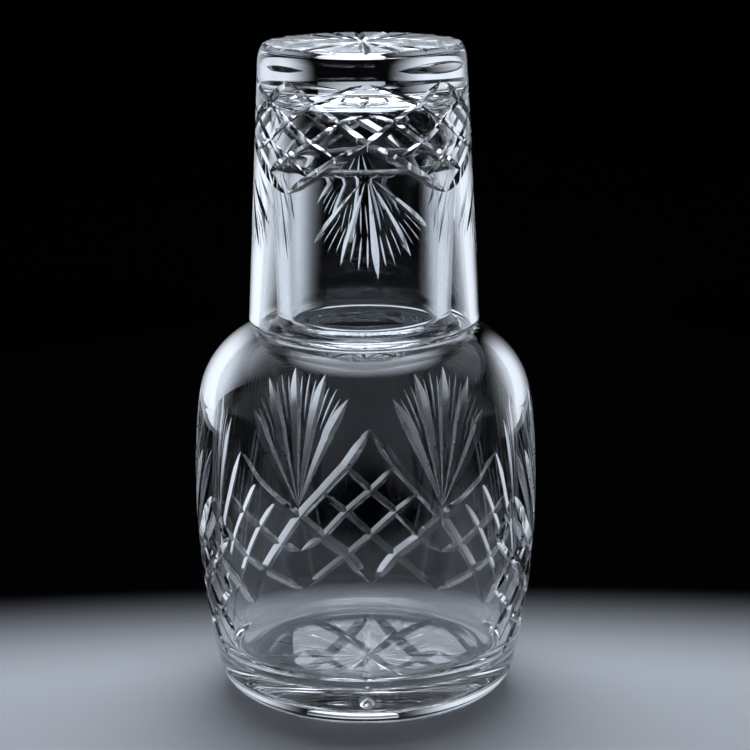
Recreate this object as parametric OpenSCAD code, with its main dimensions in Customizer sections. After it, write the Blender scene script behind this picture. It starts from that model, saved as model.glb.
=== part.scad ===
// Bedside carafe with its tumbler upturned over the neck, in cut crystal glass.
// Millimetres, +Z up, origin at the centre of the base. The blank panel faces -Y.

/* [Carafe body] */
// Greatest radius of the body
body_r = 52.2; // [48:0.2:60]
// Height of the greatest radius above the base
body_z = 66; // [60:1:72]
// Radius of the long curve of the body's side
side_arc = 260; // [200:5:400]
// Height of the shoulder's crown, where the neck grows out of it
shoulder_z = 117; // [112:0.5:122]
// Radius of the shoulder's curve
shoulder_arc = 27; // [22:0.5:30]
// Radius of the rounded heel
heel_arc = 12; // [8:0.5:14]
// Thickness of the body's wall
body_wall = 5; // [4:0.25:6]
// Thickness of the glass under the floor
floor_t = 12.5; // [10:0.5:16]
// Radius of the corner between the inside of the wall and the floor
floor_arc = 10; // [7:0.5:12]

/* [Carafe neck] */
// How far the mouth's outside lies within the tumbler's, just above its base corner
mouth_inset = 3.9; // [3.6:0.1:4.6]
// How much wider the neck is at the mouth than at its root
neck_flare = 1.1; // [0.7:0.1:2]
// Thickness of the neck's wall at its root, which leaves the bore at the throat
neck_wall = 4.2; // [3.8:0.1:6]
// Height of the mouth above the base
mouth_z = 166; // [150:0.5:168]
// Thickness of the lip, which is fully rounded
lip_t = 4.4; // [3:0.1:5]
// Radius of the fillet where the neck meets the shoulder
neck_fillet = 3.2; // [2:0.1:4]

/* [Tumbler] */
// Height of the tumbler
tumbler_h = 84.7; // [78:0.1:90]
// Outer radius just above the base corner
base_r = 31.2; // [30.6:0.1:32]
// How much wider the tumbler is at its rim than at its base
tumbler_flare = 3.8; // [3.4:0.1:4.4]
// Radius of the rounded edge of the base
base_edge = 4.4; // [3:0.1:5]
// Thickness of the rim, which is fully rounded
rim_t = 3.2; // [2.6:0.1:3.4]
// Thickness of the wall next to the inside of the base
low_wall_t = 4.2; // [3.6:0.1:4.6]
// Thickness of the base
base_t = 13; // [9:0.5:16]
// Radius of the inside corner at the base
base_arc = 6; // [4:0.5:8]
// Gap between the rim and the shoulder that it rests on
seat_gap = 0.15; // [0.1:0.05:0.3]

/* [Body cutting] */
// Repeats of the pattern round the body, of which one gives way to the blank panel
body_repeats = 6; // [5:1:7]
// Height of the arch points above the base
arch_z = 68; // [62:0.5:72]
// Height of the lowest points of the net
net_z = 16.5; // [14:0.5:22]
// Height of the tips of the tall middle leaves
body_fan_z = 87; // [84:0.5:88]
// Height of a fan's root above the valley that it stands in
body_root_rise = 3.5; // [1:0.5:6]
// Depth of the wide cuts: the zigzag lines and the leaves
wide_depth = 1.5; // [0.8:0.1:2]
// Depth of the net's narrow cuts
fine_depth = 1; // [0.5:0.1:1.4]
// Depth of the fine cuts between two leaves
needle_depth = 0.4; // [0.4:0.05:0.8]
// Half the angle between the two walls of a mitre cut
mitre_half_angle = 54; // [45:1:60]

/* [Tumbler cutting] */
// Repeats of the pattern round the tumbler
tumbler_repeats = 4; // [3:1:5]
// Height of the net's arch points above the rim
tumbler_arch = 43; // [38:0.5:48]
// Height of the net above its arch points
tumbler_net_h = 33; // [26:0.5:34]
// Length of a fan's middle leaf
tumbler_fan_l = 28; // [20:0.5:30]
// Distance from a valley to the root of its fan
tumbler_root_drop = 8; // [4:0.5:9]
// Turn of the tumbler on its seat
tumbler_turn = 2; // [0:1:90]

/* [Star cuts] */
// Rays in the star under the carafe
body_star_rays = 16; // [12:2:24]
// Radius of the star under the carafe
body_star_r = 32.5; // [26:0.5:33]
// Rays in the star on the base of the tumbler
tumbler_star_rays = 20; // [12:2:24]
// Depth of the star cuts
star_depth = 1.2; // [0.6:0.1:1.6]

/* [Hidden] */

// How far a cutter reaches out of the glass
overrun = 1.2;
// How far above the glass the two ends of a cutter's edge stand, so that a cut runs out
run_out = 0.06;
// Direction of the pattern's middle on the back, opposite the blank panel
back = 88;
// Where the net's rows lie, from the arch points to the lowest points
body_row_shares = [0, 0.23, 0.39, 0.53, 0.68, 0.80, 1];
tumbler_row_shares = [0, 0.16, 0.33, 0.46, 0.65, 0.80, 1];
// Where a line that ends at a notch under a valley stops between rows 4 and 5
notch_share = 0.55;
// Columns of the net in one repeat
net_cols = 6;
// How far the blank panel reaches to each side, as a share of a repeat
panel_share = 0.8;
// A leaf, a fine cut and a star ray, as [share of the length, share of the depth]
leaf_shares = [[0.06, 0], [0.3, 0.55], [0.62, 1], [0.85, 0.75], [1, 0]];
fine_shares = [[0.36, 0], [0.7, 1], [1, 0]];
star_shares = [[0.02, 0], [0.62, 1], [1, 0]];
// How much of its first and last column a net line takes to reach its depth
run_in_share = 0.25;
// Half the opening of a fan on the body and on the tumbler, in degrees
body_fan_open = 32;
tumbler_fan_open = 44;
// Lean of the tumbler's fans, in degrees
tumbler_fan_lean = 5;
// Wide leaves in a fan, and fine cuts between two of them
fan_wide = 5;
fan_fine = 3;
// Length of the outermost leaf against the middle one
fan_side_share = 0.88;
// Length of a fine cut against the leaves beside it
fine_len_share = 0.96;
// Depth of the tumbler's leaves against the body's
tumbler_leaf_share = 0.7;
// Faces on a rounded stretch of an outline
arc_steps = 8;

// The tumbler widens from its base to its rim, and the neck stands inside it
rim_r = base_r + tumbler_flare;
mouth_r = base_r - mouth_inset;
neck_r = mouth_r - neck_flare;
throat_r = neck_r - neck_wall;

body_c = [body_r - side_arc, body_z];
shoulder_c = inner_touch(body_c, side_arc, shoulder_arc, shoulder_z - shoulder_arc);
heel_c = inner_touch(body_c, side_arc, heel_arc, heel_arc);
floor_c = inner_touch(body_c, side_arc - body_wall, floor_arc, floor_t + floor_arc);
shoulder_a = bearing(body_c, shoulder_c);
heel_a = bearing(body_c, heel_c);
floor_a = bearing(body_c, floor_c);

fillet_c = outer_touch(shoulder_c, shoulder_arc, neck_fillet, neck_r + neck_fillet);
fillet_a = bearing(shoulder_c, fillet_c);
lip_r = lip_t / 2;
rim_lip = rim_t / 2;
rim_c = outer_touch(shoulder_c, shoulder_arc, rim_lip + seat_gap, rim_r - rim_lip);
rim_z = rim_c.y - rim_lip;
tumbler_z = rim_z + tumbler_h;
tumbler_slope = (rim_r - base_r) / (tumbler_h - base_edge - rim_lip);

// Centre of a circle that touches a larger one from inside, at height z
function inner_touch(c, big, small, z) =
    [c.x + sqrt(pow(big - small, 2) - pow(z - c.y, 2)), z];

// Centre of a circle that touches another from outside, at radius x and above it
function outer_touch(c, r, small, x) =
    [x, c.y + sqrt(pow(r + small, 2) - pow(x - c.x, 2))];

function bearing(from, to) = atan2(to.y - from.y, to.x - from.x);

function arc(c, r, a0, a1, n = arc_steps) =
    [for (i = [0:n]) let (a = a0 + (a1 - a0) * i / n) c + r * [cos(a), sin(a)]];

// Radius of the body's side at height z
function body_side_r(z) = body_c.x + sqrt(pow(side_arc, 2) - pow(z - body_c.y, 2));

// Radius of the tumbler's outside at height z
function tumbler_side_r(z) = rim_r - (z - rim_c.y) * tumbler_slope;

// A place on a round wall, and its outward direction
function wall_point(r, a, z) = [r * cos(a), r * sin(a), z];
function wall_normal(a) = [cos(a), sin(a), 0];

function unit(v) = v / norm(v);

// The glass of the carafe, as half its section
function carafe_section() = concat(
    [[0, 0]],
    arc(heel_c, heel_arc, -90, heel_a),
    arc(body_c, side_arc, heel_a, shoulder_a, 2 * arc_steps),
    arc(shoulder_c, shoulder_arc, shoulder_a, fillet_a),
    arc(fillet_c, neck_fillet, fillet_a - 180, -180, arc_steps / 2),
    arc([mouth_r - lip_r, mouth_z - lip_r], lip_r, 0, 180),
    arc([throat_r + neck_fillet, fillet_c.y], neck_fillet, 180, 270, arc_steps / 2),
    arc(shoulder_c, shoulder_arc - body_wall, cavity_top_a(), shoulder_a),
    arc(body_c, side_arc - body_wall, shoulder_a, floor_a, 2 * arc_steps),
    arc(floor_c, floor_arc, floor_a, -90),
    [[0, floor_t]]
);

// Where the cavity's ceiling begins, beside the rounded throat
function cavity_top_a() =
    acos(min(1, (throat_r + neck_fillet - shoulder_c.x) / (shoulder_arc - body_wall)));

// The glass of the tumbler, upturned, as half its section
function tumbler_section() =
    let (ceiling = tumbler_z - base_t, in_r = base_r - low_wall_t)
    concat(
        arc(rim_c, rim_lip, -180, 0),
        arc([base_r - base_edge, tumbler_z - base_edge], base_edge, 0, 90),
        [[0, tumbler_z], [0, ceiling]],
        arc([in_r - base_arc, ceiling - base_arc], base_arc, 90, 0)
    );

// A mitre cut: the V edge of a wheel led along places on the glass. normals are the
// outward directions there, and depths how deep it goes, which is nothing at both ends.
module mitre_cut(places, normals, depths) {
    n = len(places);
    sunk = [for (i = [0:n - 1]) i == 0 || i == n - 1 ? -run_out : depths[i]];
    corners = [for (i = [0:n - 1])
        let (
            along = places[min(i + 1, n - 1)] - places[max(i - 1, 0)],
            side = unit(cross(normals[i], along)),
            half = (sunk[i] + overrun) * tan(mitre_half_angle)
        )
        each [places[i] - normals[i] * sunk[i],
              places[i] + normals[i] * overrun + side * half,
              places[i] + normals[i] * overrun - side * half]];
    skin = [for (i = [0:n - 2], k = [0:2])
        let (a = 3 * i + k, b = 3 * i + (k + 1) % 3)
        each [[a, a + 3, b + 3], [a, b + 3, b]]];
    polyhedron(corners, concat([[0, 1, 2]], skin, [[3 * n - 1, 3 * n - 2, 3 * n - 3]]));
}

// The lines of one repeat that lean one way, as [column, row] places. The zigzag
// line is the deep one. The others start on it and end at the notch or the foot.
zigzag_shares = [for (i = [0:net_cols]) [i, i]];
upper_shares = [[-1, 1], [0, 2], [1, 3], [2, 4], [3, 4 + notch_share]];
lower_shares = [[-2, 2], [-1, 3], [0, 4], [1, 5], [2, 5.5], [3, 6]];

// Value between two entries of a list, at a place that may be a fraction
function between(values, t) =
    let (i = min(floor(t), len(values) - 2)) values[i] + (values[i + 1] - values[i]) * (t - i);

// Net of one repeat, centred on angle a, between two columns. rows has the heights
// of the net's rows, and wall_r gives the radius of the wall at a height.
module net(a, repeat, from_col, to_col, rows, wall_r) {
    for (lean = [-1, 1], line = [zigzag_shares, upper_shares, lower_shares]) {
        kept = [for (p = line) if (lean * p.x >= from_col && lean * p.x <= to_col) p];
        angles = [for (p = kept) a + lean * p.x * repeat / net_cols];
        heights = [for (p = kept) between(rows, p.y)];
        depth = line == zigzag_shares ? wide_depth : fine_depth;
        last = len(kept) - 1;
        stops = concat([0, run_in_share], [for (i = [1:1:last - 1]) i], [last - run_in_share, last]);
        if (last > 0)
            mitre_cut([for (t = stops) let (z = between(heights, t))
                          wall_point(wall_r(z), between(angles, t), z)],
                      [for (t = stops) wall_normal(between(angles, t))],
                      [for (t = stops) t == 0 || t == last ? 0 : depth]);
    }
}

// A fan of leaves that grows from a root at angle a and height z. up is 1 where it
// opens upward and -1 where it opens downward, and share sets the depth of its cuts.
module fan(a, z, length, open, lean, up, share, wall_r) {
    cuts = (fan_wide - 1) * (fan_fine + 1);
    for (i = [0:cuts]) {
        wide = i % (fan_fine + 1) == 0;
        across = 2 * i / cuts - 1;
        tilt = open * across + lean;
        reach = length * (1 - (1 - fan_side_share) * across * across) * (wide ? 1 : fine_len_share);
        places = wide ? leaf_shares : fine_shares;
        heights = [for (s = places) z + up * s.x * reach * cos(tilt)];
        angles = [for (k = [0:len(places) - 1])
            a + places[k].x * reach * sin(tilt) / wall_r(heights[k]) * 180 / PI];
        mitre_cut([for (k = [0:len(places) - 1]) wall_point(wall_r(heights[k]), angles[k], heights[k])],
                  [for (k = [0:len(places) - 1]) wall_normal(angles[k])],
                  [for (s = places) s.y * share * (wide ? wide_depth : needle_depth)]);
    }
}

// Rays from the middle of a flat base at height z. face is -1 for an underside.
module star(z, r, rays, face) {
    for (i = [0:rays - 1])
        mitre_cut([for (s = star_shares) wall_point(s.x * r, 360 * i / rays, z)],
                  [for (s = star_shares) [0, 0, face]],
                  [for (s = star_shares) s.y * star_depth]);
}

module carafe() {
    repeat = 360 / body_repeats;
    rows = [for (s = body_row_shares) arch_z - (arch_z - net_z) * s];
    root_z = rows[3] + body_root_rise;
    stop = net_cols * (1 - panel_share);
    difference() {
        color("aliceblue") rotate_extrude($fn = 96) polygon(carafe_section());
        for (i = [1 - body_repeats / 2:body_repeats / 2 - 1])
            net(back + i * repeat, repeat, i == 1 - body_repeats / 2 ? -stop : -net_cols,
                i == body_repeats / 2 - 1 ? stop : net_cols, rows, function(z) body_side_r(z));
        for (i = [1.5 - body_repeats / 2:body_repeats / 2 - 1.5])
            fan(back + i * repeat, root_z, body_fan_z - root_z, body_fan_open, 0, 1, 1,
                function(z) body_side_r(z));
        star(0, body_star_r, body_star_rays, -1);
    }
}

module tumbler() {
    repeat = 360 / tumbler_repeats;
    arch = rim_z + tumbler_arch;
    rows = [for (s = tumbler_row_shares) arch + tumbler_net_h * s];
    difference() {
        color("azure") rotate_extrude($fn = 96) polygon(tumbler_section());
        for (i = [0:tumbler_repeats - 1]) {
            net(tumbler_turn - 90 + (i + 0.5) * repeat, repeat, -net_cols, net_cols, rows,
                function(z) tumbler_side_r(z));
            fan(tumbler_turn - 90 + i * repeat, rows[3] - tumbler_root_drop, tumbler_fan_l,
                tumbler_fan_open, tumbler_fan_lean, -1, tumbler_leaf_share,
                function(z) tumbler_side_r(z));
        }
        rotate(tumbler_turn)
            star(tumbler_z, base_r - base_edge / 2, tumbler_star_rays, 1);
    }
}

carafe();
tumbler();
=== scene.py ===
"""Looks of a bedside carafe with its tumbler upturned over the neck, in cut crystal.

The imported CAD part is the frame. Both glasses are built again here as turned
blanks that are then cut, groove by groove, as a cutter's wheel would do it.
Sizes are in millimetres, as a glass cutter would give them, and meshes in metres.
"""

import logging
import math
from collections.abc import Callable, Iterable, Sequence
from dataclasses import dataclass, field
from enum import Enum
from typing import ClassVar

import bmesh
import bpy
import numpy as np
from mathutils import Matrix, Vector

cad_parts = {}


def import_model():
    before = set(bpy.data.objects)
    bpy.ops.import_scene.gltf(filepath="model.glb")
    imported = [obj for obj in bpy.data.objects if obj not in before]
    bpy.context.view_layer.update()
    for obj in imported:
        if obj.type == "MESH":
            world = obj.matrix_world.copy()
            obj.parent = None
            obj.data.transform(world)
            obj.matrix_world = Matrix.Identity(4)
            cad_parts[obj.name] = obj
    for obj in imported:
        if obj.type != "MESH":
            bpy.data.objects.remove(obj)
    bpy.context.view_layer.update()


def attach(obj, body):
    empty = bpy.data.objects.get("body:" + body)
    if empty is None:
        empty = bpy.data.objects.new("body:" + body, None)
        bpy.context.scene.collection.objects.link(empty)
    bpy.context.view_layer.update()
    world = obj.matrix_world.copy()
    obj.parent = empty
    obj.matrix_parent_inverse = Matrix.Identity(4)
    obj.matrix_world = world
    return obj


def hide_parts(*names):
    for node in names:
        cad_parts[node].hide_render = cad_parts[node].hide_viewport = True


LOG = logging.getLogger("carafe")
MM = 0.001
Point = tuple[float, float]
Pair = tuple[float, float]
Place = tuple[float, float, float]

# Longest distance between two points of an outline, from the flats to the tightest curve.
FLAT_STEP = 3.0
STRAIGHT_STEP = 2.0
SIDE_STEP = 1.6
ROUND_STEP = 1.2
FLOOR_STEP = 1.0
CORNER_STEP = 0.8
LIP_STEP = 0.5
RIM_STEP = 0.4
# Fewest faces along an arc of an outline and along a groove.
ARC_LEAST = 6
GROOVE_LEAST = 4


class Body(Enum):
    """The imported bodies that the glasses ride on."""

    CARAFE = "carafe"
    TUMBLER = "tumbler"


class Finish(Enum):
    """The material slot that each kind of surface takes."""

    BLOWN = 0
    BRIGHT = 1
    SATIN = 2


class Side(Enum):
    """Which way a line of the pattern leans."""

    LEFT = -1
    RIGHT = 1


class Facing(Enum):
    """Which way a fan opens or a base faces."""

    UP = 1
    DOWN = -1


def inner_touch(centre: Point, big: float, small: float, z: float) -> Point:
    """Centre of a circle that touches a larger one from inside.

    Args:
        centre: Centre of the larger circle, as radius and height.
        big: Radius of the larger circle.
        small: Radius of the smaller circle.
        z: Height of the smaller circle's centre.

    Returns:
        The smaller circle's centre.
    """
    return centre[0] + math.sqrt((big - small) ** 2 - (z - centre[1]) ** 2), z


def outer_touch(centre: Point, radius: float, small: float, x: float) -> Point:
    """Centre of a circle that touches another from outside and stands above it.

    Args:
        centre: Centre of the first circle, as radius and height.
        radius: Radius of the first circle.
        small: Radius of the touching circle.
        x: Distance of its centre from the axis.

    Returns:
        The touching circle's centre.
    """
    return x, centre[1] + math.sqrt((radius + small) ** 2 - (x - centre[0]) ** 2)


def bearing(start: Point, end: Point) -> float:
    """Direction from start to end, in degrees."""
    return math.degrees(math.atan2(end[1] - start[1], end[0] - start[0]))


def arc(centre: Point, radius: float, first: float, last: float, step: float) -> list[Point]:
    """Points along an arc.

    Args:
        centre: Centre, as radius and height.
        radius: Radius of the arc.
        first: Angle of the first point, in degrees.
        last: Angle of the last point, in degrees.
        step: Longest distance between two points.

    Returns:
        The points, both ends included.
    """
    length = abs(math.radians(last - first)) * radius
    count = max(ARC_LEAST, math.ceil(length / step))
    angles = np.radians(np.linspace(first, last, count + 1))
    return [(centre[0] + radius * math.cos(a), centre[1] + radius * math.sin(a)) for a in angles]


def line(start: Point, end: Point, step: float) -> list[Point]:
    """Points between two others, so that long faces stay short.

    Args:
        start: The point before the first.
        end: The point after the last.
        step: Longest distance between two points.

    Returns:
        The points, both ends left out.
    """
    count = max(1, math.ceil(math.dist(start, end) / step))
    return [
        (start[0] + (end[0] - start[0]) * i / count, start[1] + (end[1] - start[1]) * i / count)
        for i in range(1, count)
    ]


def turned(outline: Sequence[Point], segments: int) -> bmesh.types.BMesh:
    """Turns an outline that starts and ends on the axis into a closed blank.

    Args:
        outline: Places as radius and height, in millimetres, from one pole to the other.
        segments: Faces round the blank.

    Returns:
        The blank, in metres.
    """
    mesh = bmesh.new()
    turns = np.linspace(0, 2 * math.pi, segments, endpoint=False)
    rings: list[list[bmesh.types.BMVert]] = []
    for radius, z in outline:
        if radius == 0:
            rings.append([mesh.verts.new((0, 0, z * MM))])
            continue
        rings.append([
            mesh.verts.new((radius * MM * math.cos(a), radius * MM * math.sin(a), z * MM))
            for a in turns
        ])
    for low, high in zip(rings, rings[1:]):
        for i in range(segments):
            j = (i + 1) % segments
            face = [low[i % len(low)], low[j % len(low)], high[j % len(high)], high[i % len(high)]]
            mesh.faces.new(dict.fromkeys(face))
    bmesh.ops.recalc_face_normals(mesh, faces=mesh.faces)
    return mesh


def add_object(name: str, mesh: bmesh.types.BMesh) -> bpy.types.Object:
    """Puts a mesh into the scene.

    Args:
        name: Name of the object and its data.
        mesh: The mesh, which is used up.

    Returns:
        The object.
    """
    data = bpy.data.meshes.new(name)
    mesh.to_mesh(data)
    mesh.free()
    made = bpy.data.objects.new(name, data)
    bpy.context.scene.collection.objects.link(made)
    return made


@dataclass(frozen=True)
class Mitre:
    """One groove of a mitre wheel, which has a V edge.

    Attributes:
        path: Places of the groove's middle on the glass, in millimetres.
        normals: Outward direction of the glass at each place.
        depths: Depth of the groove at each place.
        half_angle: Half the angle between the groove's two walls, in degrees.
    """

    path: np.ndarray
    normals: np.ndarray
    depths: np.ndarray
    half_angle: float

    def add_to(self, mesh: bmesh.types.BMesh, overrun: float) -> None:
        """Adds the wheel's swept edge to a mesh of cutters.

        Args:
            mesh: The mesh that holds the cutters.
            overrun: How far the cutter stands out of the glass.
        """
        ahead = np.vstack([self.path[1:], self.path[-1:]])
        behind = np.vstack([self.path[:1], self.path[:-1]])
        across = np.cross(self.normals, ahead - behind)
        across /= np.linalg.norm(across, axis=1)[:, None]
        half = ((self.depths + overrun) * math.tan(math.radians(self.half_angle)))[:, None]
        deep = self.path - self.normals * self.depths[:, None]
        top = self.path + self.normals * overrun
        rings = [
            [mesh.verts.new(Vector(corner) * MM) for corner in section]
            for section in zip(deep, top + across * half, top - across * half)
        ]
        for a, b in zip(rings, rings[1:]):
            for i in range(3):
                j = (i + 1) % 3
                mesh.faces.new((a[i], a[j], b[j], b[i]))
        mesh.faces.new(reversed(rings[0]))
        mesh.faces.new(rings[-1])


def wheel_depth(width: float, half_angle: float) -> float:
    """Depth at which a wheel of this V, half its angle in degrees, cuts a width."""
    return width / 2 / math.tan(math.radians(half_angle))


@dataclass(frozen=True)
class Wall:
    """The outside of a round glass, which cuts follow.

    Attributes:
        radius: Gives the radius at a height, in millimetres.
        feel: How far up and down the slope is felt.
    """

    radius: Callable[[float], float]
    feel: float = 0.05

    def place(self, angle: float, z: float) -> np.ndarray:
        """A point of the wall at an angle in degrees and a height."""
        a, r = math.radians(angle), self.radius(z)
        return np.array([r * math.cos(a), r * math.sin(a), z])

    def normal(self, angle: float, z: float) -> np.ndarray:
        """Outward direction of the wall.

        Args:
            angle: Angle round the axis, in degrees.
            z: Height.

        Returns:
            The direction, one long.
        """
        a = math.radians(angle)
        slope = self.radius(z + self.feel) - self.radius(z - self.feel)
        out = np.array([2 * self.feel * math.cos(a), 2 * self.feel * math.sin(a), -slope])
        return out / np.linalg.norm(out)

    def groove(
        self, course: Sequence[Point], depth: float, half_angle: float,
        profile: Callable[[np.ndarray], np.ndarray], spacing: float = 1.6,
    ) -> Mitre:
        """A groove along a course on the wall.

        Args:
            course: Corners of the course, as angle in degrees and height.
            depth: Greatest depth.
            half_angle: Half the angle of the V.
            profile: Share of the depth at each share of the length.
            spacing: Longest distance between two stations of the groove.

        Returns:
            The groove, which has no depth at its two ends.
        """
        corners = np.array(course, float)
        places = np.array([self.place(a, z) for a, z in corners])
        along = np.r_[0, np.cumsum(np.linalg.norm(np.diff(places, axis=0), axis=1))]
        count = max(GROOVE_LEAST, math.ceil(along[-1] / spacing))
        share = np.linspace(0, 1, count + 1)
        angles = np.interp(share * along[-1], along, corners[:, 0])
        heights = np.interp(share * along[-1], along, corners[:, 1])
        path = np.array([self.place(a, z) for a, z in zip(angles, heights)])
        normals = np.array([self.normal(a, z) for a, z in zip(angles, heights)])
        depths = depth * profile(share)
        depths[[0, -1]] = 0
        return Mitre(path, normals, depths, half_angle)


def run_in(share: np.ndarray) -> np.ndarray:
    """Depth of a long groove: the wheel comes in at one end and lifts at the other."""
    end, curve = 0.1, 0.7
    return np.clip(np.minimum(share, 1 - share) / end, 0, 1) ** curve


def leaf(share: np.ndarray) -> np.ndarray:
    """Depth of a leaf: it swells slowly from its root and ends in a short pointed arch.

    Args:
        share: Shares of its length.

    Returns:
        Shares of its depth.
    """
    belly, swell, arch = 0.7, 0.75, 1.7
    rising = np.clip(share / belly, 0, 1) ** swell
    falling = 1 - np.clip((share - belly) / (1 - belly), 0, 1) ** arch
    return np.minimum(rising, falling)


def needle(share: np.ndarray) -> np.ndarray:
    """Depth of a fine cut, which is even and comes to a point at both ends."""
    root, tip, curve = 0.35, 0.3, 0.8
    return np.clip(np.minimum(share / root, (1 - share) / tip), 0, 1) ** curve


def star_ray(share: np.ndarray) -> np.ndarray:
    """Depth of a star's ray, which is fine at the middle and runs on to the edge."""
    heart, curve = 0.5, 0.8
    return np.clip(share / heart, 0, 1) ** curve


@dataclass
class Cutting:
    """Passes of the wheel. Grooves of one pass don't meet, so they are cut together.

    Attributes:
        overrun: How far the cutters stand out of the glass.
        passes: The grooves of each pass.
        finish: The finish of each pass's facets.
    """

    overrun: float = 0.8
    passes: dict[str, list[Mitre]] = field(default_factory=dict)
    finish: dict[str, Finish] = field(default_factory=dict)

    def add(self, name: str, groove: Mitre, finish: Finish) -> None:
        """Puts a groove into the pass of that name, with the finish of its facets."""
        self.passes.setdefault(name, []).append(groove)
        self.finish[name] = finish

    def cutter(self, name: str, blank: bpy.types.Object) -> bpy.types.Object:
        """Builds the solid that one pass takes away.

        Args:
            name: Name of the pass.
            blank: The glass, whose material slots the cutter shares.

        Returns:
            The cutter. Its facets pass their finish on to the glass.
        """
        mesh = bmesh.new()
        for groove in self.passes[name]:
            groove.add_to(mesh, self.overrun)
        bmesh.ops.recalc_face_normals(mesh, faces=mesh.faces)
        cutter = add_object(name, mesh)
        for finish in blank.data.materials:
            cutter.data.materials.append(finish)
        facets = cutter.data.polygons
        facets.foreach_set("material_index", [self.finish[name].value] * len(facets))
        return cutter

    def apply(self, blank: bpy.types.Object) -> None:
        """Cuts each pass out of the blank.

        Args:
            blank: The object that is cut. Its mesh is replaced.
        """
        for name, grooves in self.passes.items():
            cutter = self.cutter(name, blank)
            cut = blank.modifiers.new(name, "BOOLEAN")
            cut.object, cut.operation, cut.solver = cutter, "DIFFERENCE", "MANIFOLD"
            depsgraph = bpy.context.evaluated_depsgraph_get()
            result = bpy.data.meshes.new_from_object(blank.evaluated_get(depsgraph))
            blank.modifiers.clear()
            spent = (blank.data, cutter.data)
            blank.data = result
            bpy.data.objects.remove(cutter)
            for data in spent:
                bpy.data.meshes.remove(data)
            LOG.info("pass %s: %d grooves, %d faces", name, len(grooves), len(result.polygons))


@dataclass(frozen=True)
class Net:
    """The lattice of one repeat of the pattern, about an arch point.

    Attributes:
        rows: Heights of its rows, from the arch point to the foot.
        repeat: Angle of one repeat, in degrees.
        wide: Width of the zigzag cuts.
        narrow: Width of the other cuts.
        half_angle: Half the angle of the wheel's V.
        COLUMNS: Columns in one repeat.
        LINES: Each line's places on its way down, as column and row.
    """

    rows: Sequence[float]
    repeat: float
    wide: float
    narrow: float
    half_angle: float = 54.0

    COLUMNS: ClassVar[int] = 6
    LINES: ClassVar[dict[str, tuple[Point, ...]]] = {
        "zigzag": ((0, 0), (1, 1), (2, 2), (3, 3), (4, 4), (5, 5), (6, 6)),
        "upper": ((-1, 1), (0, 2), (1, 3), (2, 4), (3, 4.55)),
        "lower": ((-2, 2), (-1, 3), (0, 4), (1, 5), (2, 5.5), (3, 6)),
    }

    def height(self, row: float) -> float:
        """Height of a row, or of a place between two."""
        return float(np.interp(row, range(len(self.rows)), self.rows))

    def cut(self, wall: Wall, cutting: Cutting, centre: float, first: float, last: float) -> None:
        """Adds the net of one repeat.

        Args:
            wall: The wall that it lies on.
            cutting: Takes the grooves.
            centre: Angle of the arch point, in degrees.
            first: Leftmost column that it may reach.
            last: Rightmost column that it may reach.
        """
        step = self.repeat / self.COLUMNS
        for side in Side:
            for name, places in self.LINES.items():
                kept = [
                    (centre + side.value * column * step, self.height(row))
                    for column, row in places
                    if first <= side.value * column <= last
                ]
                if len(kept) < 2:
                    continue
                depth = wheel_depth(self.wide if name == "zigzag" else self.narrow, self.half_angle)
                cutting.add(f"{name}_{side.name.lower()}",
                            wall.groove(kept, depth, self.half_angle, run_in), Finish.BRIGHT)


@dataclass(frozen=True)
class Fan:
    """A fan of leaves with fine cuts between them.

    Attributes:
        leaves: Angle from upright, in degrees, and length of each leaf.
        width: Width of a leaf at its belly.
        fine_width: Width of a fine cut.
        facing: Which way it opens.
        finish: Finish of its facets.
        fine_start: Where a fine cut starts, as a share of the way from root to tip.
        fine_reach: Length of each fine cut, as a share of the leaves' beside it.
        half_angle: Half the angle of the wheel's V.
        stations: Places that lead a cut round the wall.
    """

    leaves: Sequence[Point]
    width: float
    fine_width: float
    facing: Facing
    finish: Finish
    fine_start: float = 0.58
    fine_reach: Sequence[float] = (0.93, 0.97, 0.93)
    half_angle: float = 54.0
    stations: int = 9

    def ray(self, wall: Wall, root: Point, tilt: float, start: float, end: float) -> list[Point]:
        """Course of a cut that leaves the root at a tilt.

        Args:
            wall: The wall that it lies on.
            root: The root, as angle in degrees and height.
            tilt: Angle of the cut from upright, in degrees.
            start: Distance from the root at which it starts.
            end: Distance from the root at which it ends.

        Returns:
            The course, as angles and heights.
        """
        course = []
        for reach in np.linspace(start, end, self.stations):
            height = root[1] + self.facing.value * reach * math.cos(math.radians(tilt))
            turn = reach * math.sin(math.radians(tilt)) / wall.radius(height)
            course.append((root[0] + math.degrees(turn), height))
        return course

    def cut(self, wall: Wall, cutting: Cutting, root: Point) -> None:
        """Adds the leaves and the fine cuts.

        Args:
            wall: The wall that they lie on.
            cutting: Takes the grooves.
            root: The root, as angle in degrees and height.
        """
        depth = wheel_depth(self.width, self.half_angle)
        fine_depth = wheel_depth(self.fine_width, self.half_angle)
        for i, (tilt, length) in enumerate(self.leaves):
            course = self.ray(wall, root, tilt, 0.0, length)
            cutting.add(f"leaf_{i}", wall.groove(course, depth, self.half_angle, leaf), self.finish)
        for i, (a, b) in enumerate(zip(self.leaves, self.leaves[1:])):
            for k, reach in enumerate(self.fine_reach, start=1):
                share = k / (len(self.fine_reach) + 1)
                tilt = a[0] + (b[0] - a[0]) * share
                length = (a[1] + (b[1] - a[1]) * share) * reach
                course = self.ray(wall, root, tilt, self.fine_start * length, length)
                groove = wall.groove(course, fine_depth, self.half_angle, needle)
                cutting.add(f"fine_{i}_{k}", groove, self.finish)


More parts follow.
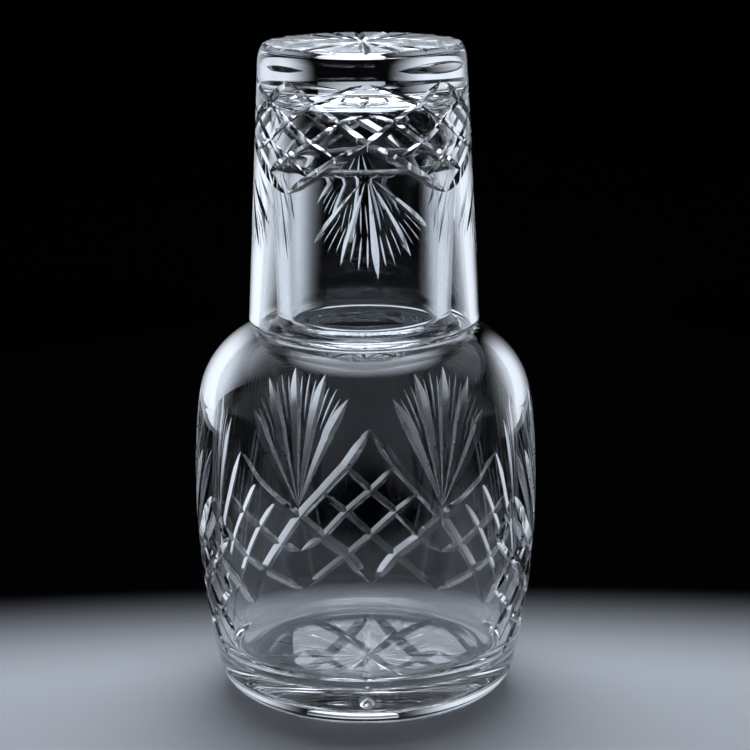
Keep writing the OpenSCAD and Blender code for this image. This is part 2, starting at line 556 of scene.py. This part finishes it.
@dataclass(frozen=True)
class Star:
    """Rays cut from the middle of a flat base.

    Attributes:
        rays: Number of rays.
        radius: How far they reach.
        width: Width of a ray where it is widest.
        facing: Which way the base faces.
        half_angle: Half the angle of the wheel's V.
        heart: Distance from the axis at which the rays start.
        stations: Places along a ray.
    """

    rays: int
    radius: float
    width: float
    facing: Facing
    half_angle: float = 58.0
    heart: float = 0.4
    stations: int = 20

    def cut(self, cutting: Cutting, z: float, turn: float = 0.0) -> None:
        """Adds the rays, every second one in a pass of its own.

        Args:
            cutting: Takes the grooves.
            z: Height of the base.
            turn: Angle of the first ray, in degrees.
        """
        depth = wheel_depth(self.width, self.half_angle)
        normals = np.tile([0.0, 0.0, float(self.facing.value)], (self.stations, 1))
        depths = depth * star_ray(np.linspace(0, 1, self.stations))
        reach = np.linspace(self.heart, self.radius, self.stations)
        level = np.full(self.stations, z)
        for i in range(self.rays):
            a = math.radians(turn + 360 * i / self.rays)
            path = np.stack([reach * math.cos(a), reach * math.sin(a), level], axis=1)
            groove = Mitre(path, normals, depths, self.half_angle)
            cutting.add(f"star_{i % 2}", groove, Finish.BRIGHT)


def linear(value: str) -> tuple[float, float, float, float]:
    """Turns an sRGB hex value into Blender's linear colour."""
    parts = [int(value[i:i + 2], 16) / 255 for i in (1, 3, 5)]
    return (*(p / 12.92 if p <= 0.04045 else ((p + 0.055) / 1.055) ** 2.4 for p in parts), 1.0)


def add_node(
    tree: bpy.types.NodeTree, kind: str, links: dict[str | int, object] | None = None,
    **settings: object,
) -> bpy.types.Node:
    """Adds a node with its settings and links.

    Args:
        tree: The node tree.
        kind: Blender's name of the node.
        links: For an input's name or number, the output that feeds it or its value.
        **settings: Attributes of the node.

    Returns:
        The node.
    """
    node = tree.nodes.new(kind)
    for name, value in settings.items():
        setattr(node, name, value)
    live = {i.name: i for i in node.inputs if i.enabled}
    for name, value in (links or {}).items():
        socket = live[name] if isinstance(name, str) else node.inputs[name]
        if isinstance(value, bpy.types.NodeSocket):
            tree.links.new(value, socket)
        else:
            socket.default_value = value
    return node


def bare(owner: bpy.types.Material | bpy.types.World) -> bpy.types.NodeTree:
    """Turns nodes on and clears them.

    Args:
        owner: The material or world.

    Returns:
        Its empty node tree.
    """
    owner.use_nodes = True
    owner.node_tree.nodes.clear()
    return owner.node_tree


@dataclass(frozen=True)
class LeadCrystal:
    """Full lead crystal, which is never quite even: one noise moves its polish and height.

    The high index gives the glass its bright edges.

    Attributes:
        name: Name of the material.
        roughness_low: Roughness where the polish is best.
        roughness_high: Roughness where it is least.
        grain: Size of the unevenness, in millimetres.
        grain_height: Its height, in millimetres.
        detail: How much smaller unevenness it holds.
        polished: The noise value up to which the polish is best.
        dull: The noise value from which it is least.
        body: Colour of the glass, close to colourless with a cool cast.
        ior: Refractive index of 24 to 30 per cent lead crystal.
    """

    name: str
    roughness_low: float
    roughness_high: float
    grain: float
    grain_height: float
    detail: float
    polished: float
    dull: float
    body: str = "#FBFCFD"
    ior: float = 1.55

    def make(self) -> bpy.types.Material:
        """Builds the material.

        Returns:
            The material.
        """
        material = bpy.data.materials.new(self.name)
        tree = bare(material)
        place = add_node(tree, "ShaderNodeTexCoord").outputs["Object"]
        noise = add_node(tree, "ShaderNodeTexNoise", {
            "Vector": place, "Scale": 1 / (self.grain * MM), "Detail": self.detail})
        polish = add_node(tree, "ShaderNodeMapRange", {
            "Value": noise.outputs["Fac"], "From Min": self.polished, "From Max": self.dull,
            "To Min": self.roughness_low, "To Max": self.roughness_high})
        bump = add_node(tree, "ShaderNodeBump", {
            "Height": noise.outputs["Fac"], "Distance": self.grain_height * MM, "Strength": 1.0})
        glass = add_node(tree, "ShaderNodeBsdfPrincipled", {
            "Base Color": linear(self.body), "IOR": self.ior, "Transmission Weight": 1.0,
            "Roughness": polish.outputs[0], "Normal": bump.outputs[0]})
        add_node(tree, "ShaderNodeOutputMaterial", {"Surface": glass.outputs[0]})
        return material


@dataclass(frozen=True)
class BlownWall(LeadCrystal):
    """The wall, blown into a mould and fire polished: clear, with a faint slow waviness."""

    name: str = "blown_lead_crystal"
    roughness_low: float = 0.0
    roughness_high: float = 0.02
    grain: float = 22.0
    grain_height: float = 0.02
    detail: float = 1.0
    polished: float = 0.0
    dull: float = 1.0


@dataclass(frozen=True)
class PolishedCut(LeadCrystal):
    """Facets cut on the wheel and smoothed in acid, more on the net than on the fans.

    The satin that is left scatters the light around it, so a facet glows where the
    wall stays clear. Its grain is coarser than the wheel's grit, so that it shows.
    """

    grain: float = 2.5
    grain_height: float = 0.003
    detail: float = 2.0
    polished: float = 0.3
    dull: float = 0.7


@dataclass(frozen=True)
class Glass:
    """What both glasses have in common: a turned blank, cuts and a crystal finish.

    Attributes:
        segments: Faces round the blank.
        sharp_angle: Angle in degrees from which an edge stays crisp.
    """

    segments: int = 288
    sharp_angle: float = 14.0

    def outline(self) -> list[Point]:
        """Half the section, from pole to pole."""
        raise NotImplementedError

    def cutting(self) -> Cutting:
        """All the cuts."""
        raise NotImplementedError

    def make(self, name: str, body: Body, finishes: Sequence[bpy.types.Material],
             slot: str) -> bpy.types.Object:
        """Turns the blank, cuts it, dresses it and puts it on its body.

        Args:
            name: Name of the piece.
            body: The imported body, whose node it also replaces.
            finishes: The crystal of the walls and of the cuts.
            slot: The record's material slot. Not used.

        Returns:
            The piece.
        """
        piece = add_object(name, turned(self.outline(), self.segments))
        for finish in finishes:
            piece.data.materials.append(finish)
        self.cutting().apply(piece)
        piece.data.name = name
        piece.data.shade_smooth()
        piece.data.set_sharp_from_angle(angle=math.radians(self.sharp_angle))
        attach(piece, body.value)
        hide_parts(body.value)
        facets = sum(face.material_index != Finish.BLOWN.value for face in piece.data.polygons)
        LOG.info("%s: %d faces, %d of them cut", name, len(piece.data.polygons), facets)
        return piece


@dataclass(frozen=True)
class Carafe(Glass):
    """The carafe: a barrel body with a round shoulder and a short flared neck.

    Attributes:
        body_r: Greatest radius of the body.
        body_z: Height of the greatest radius.
        side_arc: Radius of the side's long curve.
        shoulder_z: Height of the shoulder's crown.
        shoulder_arc: Radius of the shoulder's curve.
        heel_arc: Radius of the heel.
        wall: Thickness of the wall.
        floor_t: Thickness of the glass under the floor.
        floor_arc: Radius of the inside corner at the floor.
        neck_r: Radius of the neck at its root.
        mouth_r: Radius of the mouth's outside.
        mouth_z: Height of the mouth.
        throat_r: Radius of the bore at the throat.
        lip_t: Thickness of the lip.
        fillet: Radius of the fillet between shoulder and neck.
        repeats: Repeats of the pattern, of which one gives way to the bare front panel.
        back: Angle of the first arch point, in degrees.
        panel: Share of a repeat beside the panel that stays bare.
        rows: Heights of the net's rows.
        zigzag_width: Width of the net's zigzag cuts.
        line_width: Width of its other cuts.
        leaves: Angle from upright and length of each leaf of a fan.
        leaf_width: Width of a leaf.
        fine_width: Width of a fine cut.
        root_row: The row over which a fan has its root.
        root_rise: How far over it the root lies.
        star_rays: Rays of the star under the base.
        star_r: How far they reach.
        ray_width: Width of a ray.
    """

    body_r: float = 52.2
    body_z: float = 66.0
    side_arc: float = 260.0
    shoulder_z: float = 117.0
    shoulder_arc: float = 27.0
    heel_arc: float = 12.0
    wall: float = 5.0
    floor_t: float = 12.5
    floor_arc: float = 10.0
    neck_r: float = 26.2
    mouth_r: float = 27.3
    mouth_z: float = 166.0
    throat_r: float = 22.0
    lip_t: float = 4.4
    fillet: float = 3.2
    repeats: int = 6
    back: float = 88.0
    panel: float = 0.8
    rows: tuple[float, ...] = (68.0, 56.0, 47.7, 40.8, 33.0, 26.5, 16.3)
    zigzag_width: float = 4.1
    line_width: float = 2.7
    leaves: tuple[Point, ...] = (
        (-28.0, 41.5), (-13.0, 49.5), (0.0, 52.5), (13.0, 49.5), (28.0, 41.5))
    leaf_width: float = 4.8
    fine_width: float = 0.9
    root_row: int = 3
    root_rise: float = 3.2
    star_rays: int = 16
    star_r: float = 34.4
    ray_width: float = 2.2

    @property
    def side_centre(self) -> Point:
        """Centre of the long curve of the side."""
        return self.body_r - self.side_arc, self.body_z

    @property
    def shoulder_centre(self) -> Point:
        """Centre of the shoulder's curve."""
        return inner_touch(self.side_centre, self.side_arc, self.shoulder_arc,
                           self.shoulder_z - self.shoulder_arc)

    def side_radius(self, z: float) -> float:
        """Radius of the outside, on the side's curve or the shoulder's.

        Args:
            z: Height.

        Returns:
            The radius at that height.
        """
        side, shoulder = self.side_centre, self.shoulder_centre
        joint = self.shoulder_arc * math.sin(math.radians(bearing(side, shoulder)))
        if z > shoulder[1] + joint:
            rise = min(z - shoulder[1], self.shoulder_arc)
            return shoulder[0] + math.sqrt(self.shoulder_arc ** 2 - rise ** 2)
        return side[0] + math.sqrt(self.side_arc ** 2 - (z - self.body_z) ** 2)

    def outline(self) -> list[Point]:
        """Half the section: up the outside, over the lip and down the inside.

        Returns:
            Its points, as radius and height.
        """
        side, shoulder = self.side_centre, self.shoulder_centre
        heel = inner_touch(side, self.side_arc, self.heel_arc, self.heel_arc)
        floor = inner_touch(side, self.side_arc - self.wall, self.floor_arc,
                            self.floor_t + self.floor_arc)
        shoulder_a, heel_a, floor_a = (bearing(side, other) for other in (shoulder, heel, floor))
        fillet = outer_touch(shoulder, self.shoulder_arc, self.fillet, self.neck_r + self.fillet)
        fillet_a = bearing(shoulder, fillet)
        lip = self.lip_t / 2
        inside_arc = self.shoulder_arc - self.wall
        throat = self.throat_r + self.fillet
        top_a = math.degrees(math.acos(min(1.0, (throat - shoulder[0]) / inside_arc)))
        neck_foot, bore_foot = (self.neck_r, fillet[1]), (self.throat_r, fillet[1])
        neck_top = (self.mouth_r, self.mouth_z - lip)
        bore_top = (self.mouth_r - self.lip_t, self.mouth_z - lip)
        return [
            (0.0, 0.0),
            *line((0, 0), (heel[0], 0), FLAT_STEP),
            *arc(heel, self.heel_arc, -90, heel_a, ROUND_STEP),
            *arc(side, self.side_arc, heel_a, shoulder_a, SIDE_STEP)[1:],
            *arc(shoulder, self.shoulder_arc, shoulder_a, fillet_a, ROUND_STEP)[1:],
            *arc(fillet, self.fillet, fillet_a - 180, -180, LIP_STEP)[1:],
            *line(neck_foot, neck_top, STRAIGHT_STEP),
            *arc((self.mouth_r - lip, neck_top[1]), lip, 0, 180, LIP_STEP),
            *line(bore_top, bore_foot, STRAIGHT_STEP),
            *arc((throat, fillet[1]), self.fillet, 180, 270, LIP_STEP),
            *arc(shoulder, inside_arc, top_a, shoulder_a, ROUND_STEP),
            *arc(side, self.side_arc - self.wall, shoulder_a, floor_a, STRAIGHT_STEP)[1:],
            *arc(floor, self.floor_arc, floor_a, -90, FLOOR_STEP)[1:],
            *line((floor[0], self.floor_t), (0, self.floor_t), FLAT_STEP),
            (0.0, self.floor_t),
        ]

    def cutting(self) -> Cutting:
        """Lays out the net and fans round the body, but for its front, and the star below.

        Returns:
            The cuts.
        """
        cutting, wall = Cutting(), Wall(self.side_radius)
        repeat, front = 360 / self.repeats, self.repeats // 2
        net = Net(self.rows, repeat, self.zigzag_width, self.line_width)
        fan = Fan(self.leaves, self.leaf_width, self.fine_width, Facing.UP, Finish.SATIN)
        stop = Net.COLUMNS * (1 - self.panel)
        for i in range(self.repeats):
            if i == front:
                continue
            first = -stop if i == front + 1 else -Net.COLUMNS
            last = stop if i == front - 1 else Net.COLUMNS
            net.cut(wall, cutting, self.back + i * repeat, first, last)
        for i in range(self.repeats):
            if i not in (front - 1, front):
                root = (self.back + (i + 0.5) * repeat, self.rows[self.root_row] + self.root_rise)
                fan.cut(wall, cutting, root)
        Star(self.star_rays, self.star_r, self.ray_width, Facing.DOWN).cut(cutting, 0.0)
        return cutting


@dataclass(frozen=True)
class Tumbler(Glass):
    """The tumbler, upturned: its rim rests on the carafe's shoulder.

    Attributes:
        seat: Centre of the rim's round, as radius and height.
        height: Height of the tumbler.
        rim_r: Radius of the outside at the rim.
        base_r: Radius of the outside at the base.
        edge_width: Width of the rounded edge of the base.
        edge_height: Height of that edge.
        edge_points: Points along it.
        rim_t: Thickness of the rim.
        low_wall: Thickness of the wall at the base.
        base_t: Thickness of the base.
        base_arc: Radius of the inside corner at the base.
        repeats: Repeats of the pattern.
        turn: Angle by which the tumbler stands turned, in degrees.
        rows: Heights of the net's rows.
        zigzag_width: Width of the net's zigzag cuts.
        line_width: Width of its other cuts.
        leaves: Angle from upright and length of each leaf of a fan.
        leaf_width: Width of a leaf.
        fine_width: Width of a fine cut.
        root_row: The row under which a fan has its root.
        root_drop: How far under it the root lies.
        star_rays: Rays of the star on the base.
        star_over: How far they run past the base's radius.
        ray_width: Width of a ray.
    """

    seat: Point = (33.4, 117.16)
    height: float = 84.7
    rim_r: float = 35.0
    base_r: float = 31.2
    edge_width: float = 2.8
    edge_height: float = 6.5
    edge_points: int = 13
    rim_t: float = 3.2
    low_wall: float = 4.2
    base_t: float = 13.0
    base_arc: float = 6.0
    repeats: int = 4
    turn: float = 2.0
    rows: tuple[float, ...] = (158.6, 163.8, 169.4, 173.8, 179.8, 185.0, 191.4)
    zigzag_width: float = 3.6
    line_width: float = 2.5
    leaves: tuple[Point, ...] = (
        (-38.6, 26.5), (-17.0, 28.0), (5.4, 31.0), (28.0, 28.0), (48.7, 26.0))
    leaf_width: float = 2.5
    fine_width: float = 0.8
    root_row: int = 3
    root_drop: float = 8.2
    star_rays: int = 20
    star_over: float = 0.6
    ray_width: float = 3.0

    @property
    def top(self) -> float:
        """Height of the base, which faces up."""
        return self.seat[1] - self.rim_t / 2 + self.height

    def side_radius(self, z: float) -> float:
        """Radius of the outside at a height."""
        run = self.height - self.rim_t / 2
        return self.rim_r - (z - self.seat[1]) * (self.rim_r - self.base_r) / run

    def outline(self) -> list[Point]:
        """Half the section: from the hollow's ceiling down, round the rim and up the outside.

        Returns:
            Its points, as radius and height.
        """
        ceiling, inside = self.top - self.base_t, self.base_r - self.low_wall
        edge = (self.base_r - self.edge_width, self.top - self.edge_height)
        corner = (inside - self.base_arc, ceiling - self.base_arc)
        outer_foot, inner_foot = (self.rim_r, self.seat[1]), (self.rim_r - self.rim_t, self.seat[1])
        return [
            (0.0, ceiling),
            *line((0, ceiling), (corner[0], ceiling), FLAT_STEP),
            *arc(corner, self.base_arc, 90, 0, CORNER_STEP),
            *line((inside, corner[1]), inner_foot, STRAIGHT_STEP),
            *arc(self.seat, self.rim_t / 2, -180, 0, RIM_STEP),
            *line(outer_foot, (self.base_r, edge[1]), SIDE_STEP),
            *((edge[0] + self.edge_width * math.cos(a), edge[1] + self.edge_height * math.sin(a))
              for a in np.linspace(0, math.pi / 2, self.edge_points)),
            *line((edge[0], self.top), (0, self.top), FLAT_STEP),
            (0.0, self.top),
        ]

    def cutting(self) -> Cutting:
        """Lays out the net round the base, the fans that hang from it and the star on top.

        Returns:
            The cuts.
        """
        cutting, wall = Cutting(), Wall(self.side_radius)
        repeat = 360 / self.repeats
        net = Net(self.rows, repeat, self.zigzag_width, self.line_width)
        fan = Fan(self.leaves, self.leaf_width, self.fine_width, Facing.DOWN, Finish.BRIGHT)
        for i in range(self.repeats):
            front = self.turn - 90 + i * repeat
            net.cut(wall, cutting, front + repeat / 2, -Net.COLUMNS, Net.COLUMNS)
            fan.cut(wall, cutting, (front, self.rows[self.root_row] - self.root_drop))
        star = Star(self.star_rays, self.base_r + self.star_over, self.ray_width, Facing.UP)
        star.cut(cutting, self.top, self.turn)
        return cutting


@dataclass(frozen=True)
class Softbox:
    """A lamp behind cloth, whose light fades towards its edges.

    Attributes:
        name: Name of the lamp.
        place: Its middle, in metres.
        size: Width and height, in metres.
        level: Brightness in the middle, where 1 is white.
        aim: The point that it faces.
        full: Share of the way in from its edge at which the light is full.
        colour: Colour of its light, a cool daylight.
    """

    name: str
    place: Place
    size: Pair
    level: float
    aim: Place = (0.0, 0.0, 0.1)
    full: float = 0.6
    colour: str = "#E4ECF8"

    def cloth(self) -> bpy.types.Material:
        """Builds the glowing cloth.

        Returns:
            The cloth's material.
        """
        material = bpy.data.materials.new(f"{self.name}_cloth")
        tree = bare(material)
        place = add_node(tree, "ShaderNodeTexCoord").outputs["Object"]
        spread = add_node(tree, "ShaderNodeMapping", {
            "Vector": place, "Scale": (2 / self.size[0], 2 / self.size[1], 1)})
        fall = add_node(tree, "ShaderNodeTexGradient", {"Vector": spread.outputs[0]},
                        gradient_type="SPHERICAL")
        fade = add_node(tree, "ShaderNodeMapRange", {
            "Value": fall.outputs["Fac"], "From Max": self.full, "To Max": self.level},
            interpolation_type="SMOOTHSTEP")
        glow = add_node(tree, "ShaderNodeEmission", {
            "Color": linear(self.colour), "Strength": fade.outputs[0]})
        add_node(tree, "ShaderNodeOutputMaterial", {"Surface": glow.outputs[0]})
        return material

    def make(self) -> None:
        """Hangs the lamp."""
        mesh = bmesh.new()
        bmesh.ops.create_grid(mesh, x_segments=1, y_segments=1, size=0.5)
        bmesh.ops.scale(mesh, vec=(*self.size, 1), verts=mesh.verts)
        box = add_object(self.name, mesh)
        box.location = self.place
        box.rotation_mode = "QUATERNION"
        box.rotation_quaternion = (Vector(self.aim) - Vector(self.place)).to_track_quat("Z", "Y")
        box.visible_camera = False
        box.data.materials.append(self.cloth())


@dataclass(frozen=True)
class Floor:
    """A wide round floor of matt paper, with a painted pool of light about the object and painted
    darkness farther out.

    Clear glass shows its cuts only against the dark, so the painted pool of light ends near it.

    Attributes:
        radius: Radius of the floor, in metres.
        segments: Edges round it.
        gap: How far under the object's base it lies, in millimetres.
        painted_pool_colour: Colour of the painted pool of light about the object.
        painted_dark_colour: Painted darkness farther out.
        painted_pool_width: Half the width of the painted pool of light, in metres.
        painted_pool_length: Half its length from front to back.
        painted_pool_y: Its middle.
        painted_pool_fade_start: Share of the way out at which the painted pool of light starts to
            darken.
        roughness: Roughness of the paper.
    """

    radius: float = 4.0
    segments: int = 96
    gap: float = 0.1
    painted_pool_colour: str = "#CDCFD2"
    painted_dark_colour: str = "#030304"
    painted_pool_width: float = 0.45
    painted_pool_length: float = 0.18
    painted_pool_y: float = -0.085
    painted_pool_fade_start: float = 0.5
    roughness: float = 0.9

    def paper(self) -> bpy.types.Material:
        """Builds the paper, whose colour holds the painted pool of light and the painted darkness.

        Returns:
            The paper's material.
        """
        material = bpy.data.materials.new("floor_paper_painted_pool")
        tree = bare(material)
        place = add_node(tree, "ShaderNodeTexCoord").outputs["Object"]
        spread = add_node(tree, "ShaderNodeMapping", {
            "Vector": place, "Location": (0, -self.painted_pool_y / self.painted_pool_length, 0),
            "Scale": (1 / self.painted_pool_width, 1 / self.painted_pool_length, 1)})
        away = add_node(tree, "ShaderNodeVectorMath", {0: spread.outputs[0]}, operation="LENGTH")
        fade = add_node(tree, "ShaderNodeMapRange", {
            "Value": away.outputs["Value"], "From Min": self.painted_pool_fade_start, "From Max": 1.0},
            interpolation_type="SMOOTHSTEP")
        # Painted light: the paper's colour is a pale pool about the object that fades into painted
        # darkness farther out.
        painted_pool_tone = add_node(tree, "ShaderNodeMix", {
            "Factor": fade.outputs[0], "A": linear(self.painted_pool_colour), "B": linear(self.painted_dark_colour)},
            data_type="RGBA")
        paper = add_node(tree, "ShaderNodeBsdfPrincipled", {
            "Base Color": painted_pool_tone.outputs[2], "Roughness": self.roughness, "Specular IOR Level": 0.0})
        add_node(tree, "ShaderNodeOutputMaterial", {"Surface": paper.outputs[0]})
        return material

    def make(self) -> None:
        """Lays the floor."""
        mesh = bmesh.new()
        bmesh.ops.create_circle(mesh, cap_ends=True, segments=self.segments, radius=self.radius)
        floor = add_object("floor", mesh)
        floor.location.z = -self.gap * MM
        floor.data.materials.append(self.paper())


@dataclass(frozen=True)
class Studio:
    """A floor with a painted pool of light, soft lamps, and the camera at the photograph's angle.

    Attributes:
        camera_y: Place of the camera before the object, in millimetres.
        camera_z: Height of the camera, in millimetres.
        pitch: How far it looks down, in degrees.
        yaw: How far it looks aside.
        roll: How far it leans.
        lens: Focal length, in millimetres.
        sensor: Width of the film, in millimetres.
        clip: Nearest and farthest distance that it sees, in metres.
        wall_colour: Colour of the walls beside the object.
        wall_level: Brightness of the walls.
        dark_level: Brightness of the dark room behind and before the object.
        behind: Shares of straight back at which the room is dark and the walls are full.
        before: The same to the front.
        softboxes: The lamps over and beside the object.
        bounces: How often light may pass through glass.
        glossy_bounces: How often it may be mirrored.
    """

    camera_y: float = -732.9
    camera_z: float = 276.6
    pitch: float = 13.64
    yaw: float = 0.24
    roll: float = 0.42
    lens: float = 118.66
    sensor: float = 36.0
    clip: Pair = (0.05, 50.0)
    wall_colour: str = "#E9EDF2"
    wall_level: float = 0.2
    dark_level: float = 0.01
    behind: Pair = (0.96, 0.78)
    before: Pair = (-0.4, 0.2)
    softboxes: tuple[Softbox, ...] = (
        Softbox("softbox_top", (0.0, 0.2, 0.75), (0.8, 0.8), 6.0),
        Softbox("softbox_back", (0.0, 1.3, 0.6), (1.6, 0.7), 2.0),
        Softbox("softbox_left", (-0.6, 0.6, 0.65), (1.3, 1.2), 0.5),
        Softbox("softbox_right", (0.7, 0.5, 0.65), (1.3, 1.2), 0.45),
        Softbox("card_left", (-0.30, 0.34, 0.12), (0.6, 0.5), 1.2),
        Softbox("card_right", (0.35, 0.30, 0.12), (0.6, 0.5), 1.1),
    )
    bounces: int = 32
    glossy_bounces: int = 8

    def camera(self) -> None:
        """Sets up the camera."""
        data = bpy.data.cameras.new("camera")
        data.lens, data.sensor_width = self.lens, self.sensor
        data.clip_start, data.clip_end = self.clip
        data.dof.use_dof = False
        camera = bpy.data.objects.new("camera", data)
        bpy.context.scene.collection.objects.link(camera)
        camera.matrix_world = (
            Matrix.Translation((0, self.camera_y * MM, self.camera_z * MM))
            @ Matrix.Rotation(math.radians(-self.yaw), 4, "Z")
            @ Matrix.Rotation(math.radians(90 - self.pitch), 4, "X")
            @ Matrix.Rotation(math.radians(-self.roll), 4, "Z")
        )
        bpy.context.scene.camera = camera

    def world(self) -> None:
        """Pale walls beside the object, and a dark room behind it and before it."""
        world = bpy.data.worlds.new("world")
        bpy.context.scene.world = world
        tree = bare(world)
        way = add_node(tree, "ShaderNodeTexCoord").outputs["Generated"]
        along = add_node(tree, "ShaderNodeVectorMath", {0: way, 1: (0.0, 1.0, 0.0)},
                         operation="DOT_PRODUCT")
        back, front = (add_node(tree, "ShaderNodeMapRange", {
            "Value": along.outputs["Value"], "From Min": dark, "From Max": pale},
            interpolation_type="SMOOTHSTEP") for dark, pale in (self.behind, self.before))
        walls = add_node(tree, "ShaderNodeMath", {0: back.outputs[0], 1: front.outputs[0]},
                         operation="MULTIPLY")
        level = add_node(tree, "ShaderNodeMath", {
            0: walls.outputs[0], 1: self.wall_level, 2: self.dark_level}, operation="MULTIPLY_ADD")
        glow = add_node(tree, "ShaderNodeBackground", {
            "Color": linear(self.wall_colour), "Strength": level.outputs[0]})
        add_node(tree, "ShaderNodeOutputWorld", {"Surface": glow.outputs[0]})

    def make(self) -> None:
        """Sets it all up."""
        self.camera()
        self.world()
        Floor().make()
        for softbox in self.softboxes:
            softbox.make()
        bpy.context.scene.view_settings.view_transform = "Standard"
        cycles = bpy.context.scene.cycles
        cycles.max_bounces = cycles.transmission_bounces = self.bounces
        cycles.glossy_bounces = self.glossy_bounces


def corners(bounds: Iterable[Vector]) -> list[list[float]]:
    """A box's two corners as plain numbers."""
    return [list(corner) for corner in bounds]


def main() -> None:
    """Builds the pieces in order."""
    logging.basicConfig(level=logging.INFO, format="%(name)s: %(message)s")
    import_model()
    finishes = (BlownWall().make(),
                PolishedCut("bright_polished_cuts", roughness_low=0.02, roughness_high=0.12).make(),
                PolishedCut("satin_polished_cuts", roughness_low=0.26, roughness_high=0.36).make())
    Carafe().make("carafe_glass", Body.CARAFE, finishes, "carafe_crystal")
    Tumbler().make("tumbler_glass", Body.TUMBLER, finishes, "tumbler_crystal")
    Studio().make()


if __name__ == "__main__":
    main()
